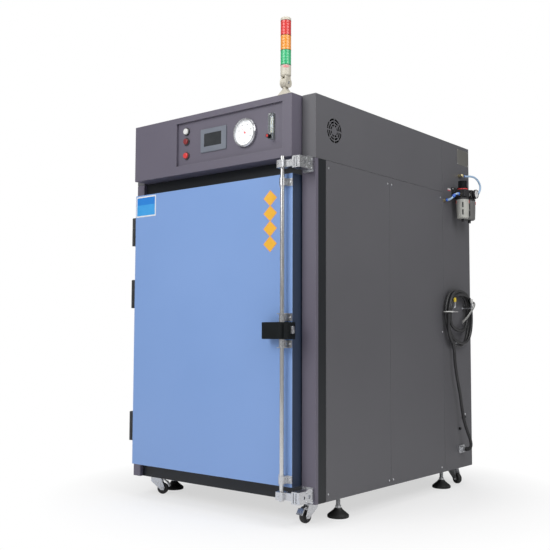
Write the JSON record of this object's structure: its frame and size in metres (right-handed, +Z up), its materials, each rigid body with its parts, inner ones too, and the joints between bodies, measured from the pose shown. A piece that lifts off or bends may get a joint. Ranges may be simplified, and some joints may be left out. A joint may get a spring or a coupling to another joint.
{
  "type": "nitrogen oven",
  "caption": "Floor-standing industrial nitrogen drying oven with a swing door, vertical rod lock, control box, signal tower, casters and levelling feet.",
  "frame": {"origin": "floor point under the centre of the oven's bounding box, on the plane of the levelling feet's soles", "axes": "+Z up, -Y out of the door face, +X to the side with the air filter set"},
  "size_m": [1.138, 1.4311, 2.033],
  "materials": {
    "cabinet_paint": "dark grey-violet powder coat",
    "panel_paint": "dark grey powder coat",
    "door_paint": "periwinkle powder coat",
    "stainless": "brushed",
    "zinc": "zinc plated",
    "frame_steel": "primed",
    "wool": "mineral wool",
    "silicone": "matte",
    "rubber": "matte",
    "black_plastic": "moulded",
    "black_metal": "satin",
    "motor": "painted casting",
    "heater": "heat tinted",
    "bezel": "moulded",
    "gauge": "satin, white dial",
    "clear": "clear acrylic",
    "tower_grey": "moulded",
    "white_plastic": "moulded",
    "lens_green": "translucent",
    "lens_orange": "translucent",
    "lens_red": "translucent",
    "red_plastic": "moulded",
    "dark_red_plastic": "moulded",
    "brass": "satin",
    "hose": "translucent polyurethane",
    "cable": "matte"
  },
  "bodies": {
    "cabinet": {"cabinet_frame": "frame_steel", "left_side_panels": "panel_paint", "right_side_panels": "panel_paint", "roof_panel": "panel_paint", "rear_panel": "panel_paint", "front_frame": "cabinet_paint", "chamber_liner": "stainless", "insulation": "wool", "air_ducts": "stainless", "heater_elements": "heater", "fan_motor": "motor", "door_gasket": "silicone", "hinge_frame_leaves": "black_metal", "lock_keepers": "zinc", "control_box": "cabinet_paint", "touch_panel": "bezel", "gauge_case": "gauge", "flowmeter": "clear", "tower_foot": "tower_grey", "filter_set": "black_plastic", "air_fittings": "brass", "hose_upper": "hose", "hose_lower": "hose", "cable_tube": "cable", "cable_coil": "cable", "cable_holders": "zinc"},
    "fan_wheel": {"fan_impeller": "stainless"},
    "shelf_low": {"shelf_lower": "stainless"},
    "shelf_high": {"shelf_upper": "stainless"},
    "door": {"door_shell": "door_paint", "door_inner_panel": "stainless", "hinge_door_leaves": "black_metal", "lock_brackets": "zinc", "handle_stop": "black_plastic"},
    "lock": {"lock_rod": "zinc", "lock_cams": "zinc", "handle": "black_plastic"},
    "tower": {"tower_base": "tower_grey", "lens_green": "lens_green", "lens_orange": "lens_orange", "lens_red": "lens_red"},
    "white_button": {"button_white": "white_plastic"},
    "dark_red_button": {"button_dark_red": "dark_red_plastic"},
    "red_button": {"button_bright_red": "red_plastic"},
    "flow_knob": {"flowmeter_knob": "black_plastic"},
    "pressure_knob": {"regulator_knob": "black_plastic"},
    "fork_front_left": {"caster_fork_front_left": "zinc"},
    "wheel_front_left": {"caster_wheel_front_left": "rubber"},
    "pedal_front_left": {"brake_pedal_front_left": "zinc"},
    "fork_front_right": {"caster_fork_front_right": "zinc"},
    "wheel_front_right": {"caster_wheel_front_right": "rubber"},
    "pedal_front_right": {"brake_pedal_front_right": "zinc"},
    "fork_rear_left": {"caster_fork_rear_left": "zinc"},
    "wheel_rear_left": {"caster_wheel_rear_left": "rubber"},
    "fork_rear_right": {"caster_fork_rear_right": "zinc"},
    "wheel_rear_right": {"caster_wheel_rear_right": "rubber"},
    "foot_front_left": {"levelling_foot_front_left": "rubber"},
    "foot_front_right": {"levelling_foot_front_right": "rubber"},
    "foot_rear_left": {"levelling_foot_rear_left": "rubber"},
    "foot_rear_right": {"levelling_foot_rear_right": "rubber"}
  },
  "joints": [
    {"name": "fan_spin", "type": "hinge", "parent": "cabinet", "child": "fan_wheel", "pos_m": [-0.05925, 0.23625, 0.758], "axis": [0, 1, 0], "continuous": true},
    {"name": "shelf_low_slide", "type": "slide", "parent": "cabinet", "child": "shelf_low", "axis": [0, -1, 0], "range_m": [0, 0.1]},
    {"name": "shelf_high_slide", "type": "slide", "parent": "cabinet", "child": "shelf_high", "axis": [0, -1, 0], "range_m": [0, 0.1]},
    {"name": "door_swing", "type": "hinge", "parent": "cabinet", "child": "door", "pos_m": [-0.542, -0.64175, 0.758], "axis": [0, 0, -1], "range_deg": [0, 110]},
    {"name": "lock_turn", "type": "hinge", "parent": "door", "child": "lock", "pos_m": [0.3725, -0.68225, 0.749], "axis": [0, 0, 1], "range_deg": [0, 90]},
    {"name": "tower_fold", "type": "hinge", "parent": "cabinet", "child": "tower", "pos_m": [0.312, -0.58875, 1.759], "axis": [-1, 0, 0], "range_deg": [0, 90]},
    {"name": "white_press", "type": "slide", "parent": "cabinet", "child": "white_button", "axis": [0, 1, 0], "range_m": [0, 0.004], "stiffness_N_per_m": 500, "springref_m": -0.002},
    {"name": "dark_red_press", "type": "slide", "parent": "cabinet", "child": "dark_red_button", "axis": [0, 1, 0], "range_m": [0, 0.004], "stiffness_N_per_m": 500, "springref_m": -0.002},
    {"name": "red_press", "type": "slide", "parent": "cabinet", "child": "red_button", "axis": [0, 1, 0], "range_m": [0, 0.004], "stiffness_N_per_m": 500, "springref_m": -0.002},
    {"name": "flow_adjust", "type": "hinge", "parent": "cabinet", "child": "flow_knob", "pos_m": [0.3013, -0.67995, 1.524], "axis": [0, 1, 0], "range_deg": [0, 720]},
    {"name": "pressure_adjust", "type": "hinge", "parent": "cabinet", "child": "pressure_knob", "pos_m": [0.528, 0.53425, 1.471], "axis": [0, 0, 1], "range_deg": [0, 720]},
    {"name": "swivel_front_left", "type": "hinge", "parent": "cabinet", "child": "fork_front_left", "pos_m": [-0.497, -0.53175, 0.078], "axis": [0, 0, 1], "continuous": true},
    {"name": "roll_front_left", "type": "hinge", "parent": "fork_front_left", "child": "wheel_front_left", "pos_m": [-0.46985, -0.51129, 0.0258], "axis": [-0.6018, 0.7986, 0], "continuous": true},
    {"name": "brake_front_left", "type": "hinge", "parent": "fork_front_left", "child": "pedal_front_left", "pos_m": [-0.47943, -0.51851, 0.0598], "axis": [-0.6018, 0.7986, 0], "range_deg": [0, 8]},
    {"name": "swivel_front_right", "type": "hinge", "parent": "cabinet", "child": "fork_front_right", "pos_m": [0.404, -0.53175, 0.078], "axis": [0, 0, 1], "continuous": true},
    {"name": "roll_front_right", "type": "hinge", "parent": "fork_front_right", "child": "wheel_front_right", "pos_m": [0.39693, -0.56501, 0.0258], "axis": [0.9781, -0.2079, 0], "continuous": true},
    {"name": "brake_front_right", "type": "hinge", "parent": "fork_front_right", "child": "pedal_front_right", "pos_m": [0.39943, -0.55327, 0.0598], "axis": [0.9781, -0.2079, 0], "range_deg": [0, 8]},
    {"name": "swivel_rear_left", "type": "hinge", "parent": "cabinet", "child": "fork_rear_left", "pos_m": [-0.497, 0.63325, 0.078], "axis": [0, 0, 1], "continuous": true},
    {"name": "roll_rear_left", "type": "hinge", "parent": "fork_rear_left", "child": "wheel_rear_left", "pos_m": [-0.52895, 0.64488, 0.0258], "axis": [-0.342, -0.9397, 0], "continuous": true},
    {"name": "swivel_rear_right", "type": "hinge", "parent": "cabinet", "child": "fork_rear_right", "pos_m": [0.404, 0.63325, 0.078], "axis": [0, 0, 1], "continuous": true},
    {"name": "roll_rear_right", "type": "hinge", "parent": "fork_rear_right", "child": "wheel_rear_right", "pos_m": [0.43574, 0.62106, 0.0258], "axis": [0.3584, 0.9336, 0], "continuous": true},
    {"name": "level_front_left", "type": "slide", "parent": "cabinet", "child": "foot_front_left", "axis": [0, 0, -1], "range_m": [0, 0.02]},
    {"name": "level_front_right", "type": "slide", "parent": "cabinet", "child": "foot_front_right", "axis": [0, 0, -1], "range_m": [0, 0.02]},
    {"name": "level_rear_left", "type": "slide", "parent": "cabinet", "child": "foot_rear_left", "axis": [0, 0, -1], "range_m": [0, 0.02]},
    {"name": "level_rear_right", "type": "slide", "parent": "cabinet", "child": "foot_rear_right", "axis": [0, 0, -1], "range_m": [0, 0.02]}
  ]
}
